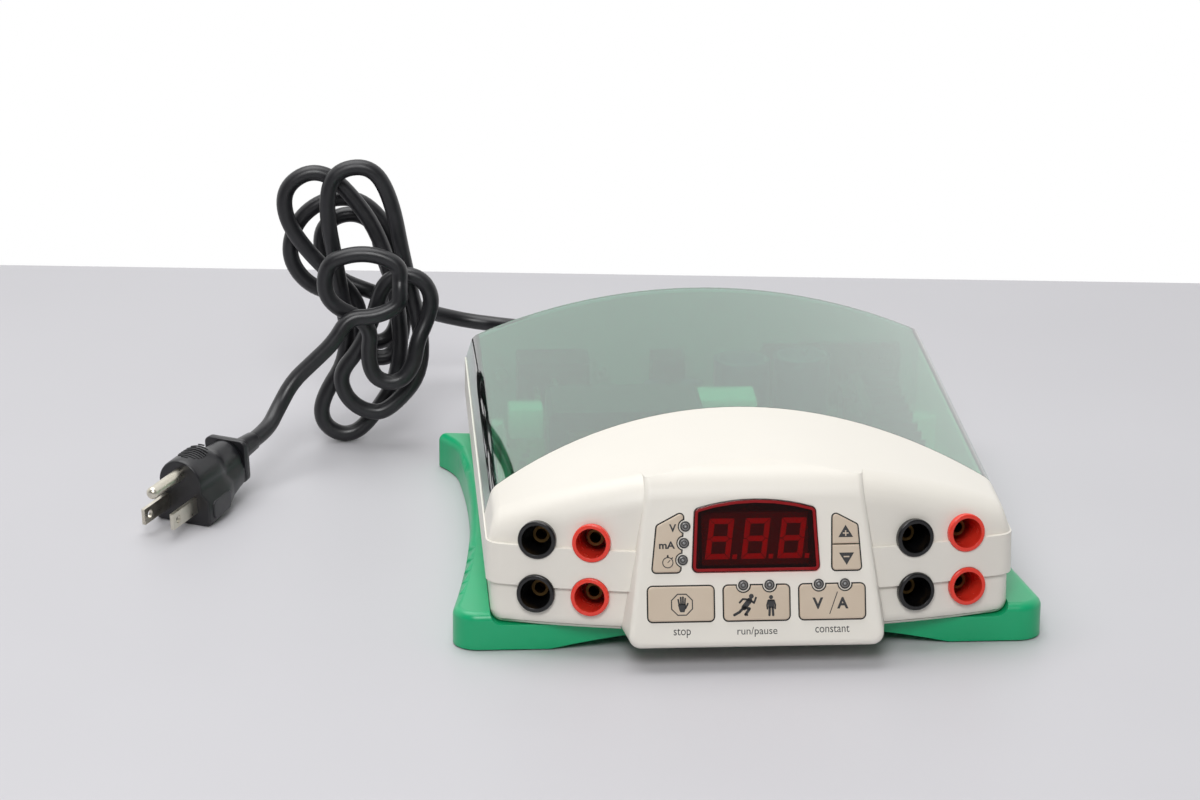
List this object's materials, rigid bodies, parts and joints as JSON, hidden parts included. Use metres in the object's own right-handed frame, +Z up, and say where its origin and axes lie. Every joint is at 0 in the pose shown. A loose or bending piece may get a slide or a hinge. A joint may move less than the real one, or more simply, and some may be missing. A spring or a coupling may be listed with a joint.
{
  "type": "electrophoresis power supply",
  "caption": "Bench power supply for gel electrophoresis: arched case on a flared tray, sloping key pod, shrouded output jacks and a bundled mains cord.",
  "frame": {"origin": "on the table, under the middle of the supply's own box", "axes": "+X to the right seen from the front, +Y to the back, +Z up"},
  "size_m": [0.3253, 0.3349, 0.1168],
  "materials": {
    "tray_green": "satin moulded green plastic",
    "shell_white": "fine-textured warm white moulding",
    "cover_smoke": "smoked green clear plastic",
    "panel_grey": "painted sheet metal",
    "window_red": "clear red plastic",
    "display_black": "dark epoxy face",
    "lamp_red": "diffused lens",
    "key_beige": "satin beige keys",
    "part_black": "satin black plastic",
    "jack_black": "polished black plastic",
    "jack_red": "polished red plastic",
    "contact_brass": "plated contact tubes",
    "pad_rubber": "rubber pads",
    "screw_steel": "zinc-plated screws",
    "board_green": "solder-masked glass fibre board",
    "core_iron": "laminated ferrous core",
    "winding_copper": "taped copper winding",
    "sink_aluminium": "extruded aluminium",
    "capacitor_blue": "sleeved cans",
    "inductor_copper": "enamelled wire ring",
    "connector_cream": "nylon housings",
    "ribbon_grey": "grey ribbon cable",
    "pin_nickel": "nickel-plated pins",
    "cord_black": "soft black vinyl"
  },
  "bodies": {
    "root": {"base_tray": "tray_green", "foot_pads": "pad_rubber", "lower_housing": "shell_white", "upper_housing": "shell_white", "top_cover": "cover_smoke", "rear_panel": "panel_grey", "housing_screws": "screw_steel", "display_window": "window_red", "display_module": "display_black", "indicator_lights": "lamp_red", "key_switches": "part_black", "front_board": "board_green", "front_board_screws": "screw_steel", "black_jacks": "jack_black", "red_jacks": "jack_red", "jack_contacts": "contact_brass", "jack_boards": "board_green", "main_board": "board_green", "board_screws": "screw_steel", "transformer_core": "core_iron", "transformer_winding": "winding_copper", "heat_sinks": "sink_aluminium", "power_transistors": "part_black", "capacitors": "capacitor_blue", "inductor": "inductor_copper", "relays": "part_black", "board_connectors": "connector_cream", "ribbon_cable": "ribbon_grey", "mains_inlet": "part_black", "inlet_pins": "pin_nickel", "inlet_screws": "screw_steel", "switch_frame": "part_black", "fuse_holder": "part_black", "cord_connector": "cord_black", "connector_relief": "cord_black", "cord_lead": "cord_black", "cord_hank": "cord_black", "plug_lead": "cord_black", "plug_relief": "cord_black", "plug_body": "cord_black", "plug_blades": "pin_nickel", "ground_pin": "pin_nickel"},
    "stop_key": {"stop_key": "key_beige"},
    "run_key": {"run_key": "key_beige"},
    "constant_key": {"constant_key": "key_beige"},
    "select_key": {"select_key": "key_beige"},
    "plus_key": {"plus_key": "key_beige"},
    "minus_key": {"minus_key": "key_beige"},
    "power_rocker": {"power_rocker": "part_black"},
    "fuse_cap": {"fuse_cap": "part_black", "fuse": "pin_nickel"}
  },
  "joints": [
    {"name": "stop_press", "type": "slide", "parent": "root", "child": "stop_key", "axis": [0, 0.9397, -0.342], "range_m": [0, 0.0007], "stiffness_N_per_m": 500, "springref_m": -0.0003},
    {"name": "run_press", "type": "slide", "parent": "root", "child": "run_key", "axis": [0, 0.9397, -0.342], "range_m": [0, 0.0007], "stiffness_N_per_m": 500, "springref_m": -0.0003},
    {"name": "constant_press", "type": "slide", "parent": "root", "child": "constant_key", "axis": [0, 0.9397, -0.342], "range_m": [0, 0.0007], "stiffness_N_per_m": 500, "springref_m": -0.0003},
    {"name": "select_press", "type": "slide", "parent": "root", "child": "select_key", "axis": [0, 0.9397, -0.342], "range_m": [0, 0.0007], "stiffness_N_per_m": 500, "springref_m": -0.0003},
    {"name": "plus_press", "type": "slide", "parent": "root", "child": "plus_key", "axis": [0, 0.9397, -0.342], "range_m": [0, 0.0007], "stiffness_N_per_m": 500, "springref_m": -0.0003},
    {"name": "minus_press", "type": "slide", "parent": "root", "child": "minus_key", "axis": [0, 0.9397, -0.342], "range_m": [0, 0.0007], "stiffness_N_per_m": 500, "springref_m": -0.0003},
    {"name": "rocker_tip", "type": "hinge", "parent": "root", "child": "power_rocker", "pos_m": [-0.012, 0.1164, 0.031], "axis": [1, 0, 0], "range_deg": [0, 14]},
    {"name": "fuse_cap_turn", "type": "hinge", "parent": "root", "child": "fuse_cap", "pos_m": [0.014, 0.121, 0.031], "axis": [0, 1, 0], "range_deg": [0, 45]}
  ]
}
